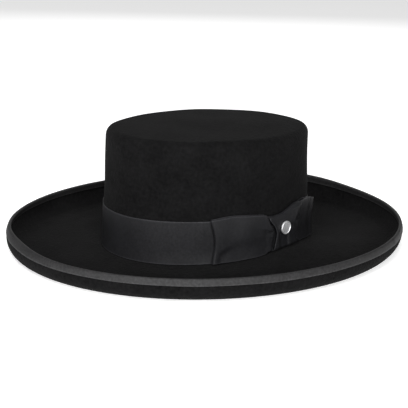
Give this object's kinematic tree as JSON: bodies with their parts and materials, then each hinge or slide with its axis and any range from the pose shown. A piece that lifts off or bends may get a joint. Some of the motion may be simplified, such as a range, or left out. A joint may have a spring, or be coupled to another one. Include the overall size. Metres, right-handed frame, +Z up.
{
  "type": "flat-crowned felt hat",
  "caption": "Wide-brimmed felt hat with a flat crown, a rolled and bound brim edge, and a ribbon band with a flat bow and a round pin.",
  "frame": {"origin": "on the plane that the hat stands on, under the centre of the brim", "axes": "+Z is up, -Y is the front of the hat and +X is the wearer's left, where the bow is"},
  "size_m": [0.3454, 0.3868, 0.1143],
  "materials": {
    "felt": "smooth black wool felt with a short, soft nap",
    "edge_ribbon": "black grosgrain ribbon with fine cross ribs, slightly glossy",
    "band_ribbon": "black grosgrain ribbon with fine cross ribs, slightly glossy",
    "bow_ribbon": "black grosgrain ribbon with fine cross ribs, softly folded",
    "pin_metal": "matt silver-coloured metal with a raised rim"
  },
  "bodies": {
    "root": {"felt_shell": "felt", "brim_binding": "edge_ribbon", "hat_band": "band_ribbon", "bow_front_loop": "bow_ribbon", "bow_rear_loop": "bow_ribbon", "bow_knot": "bow_ribbon", "bow_pin": "pin_metal"}
  },
  "joints": []
}
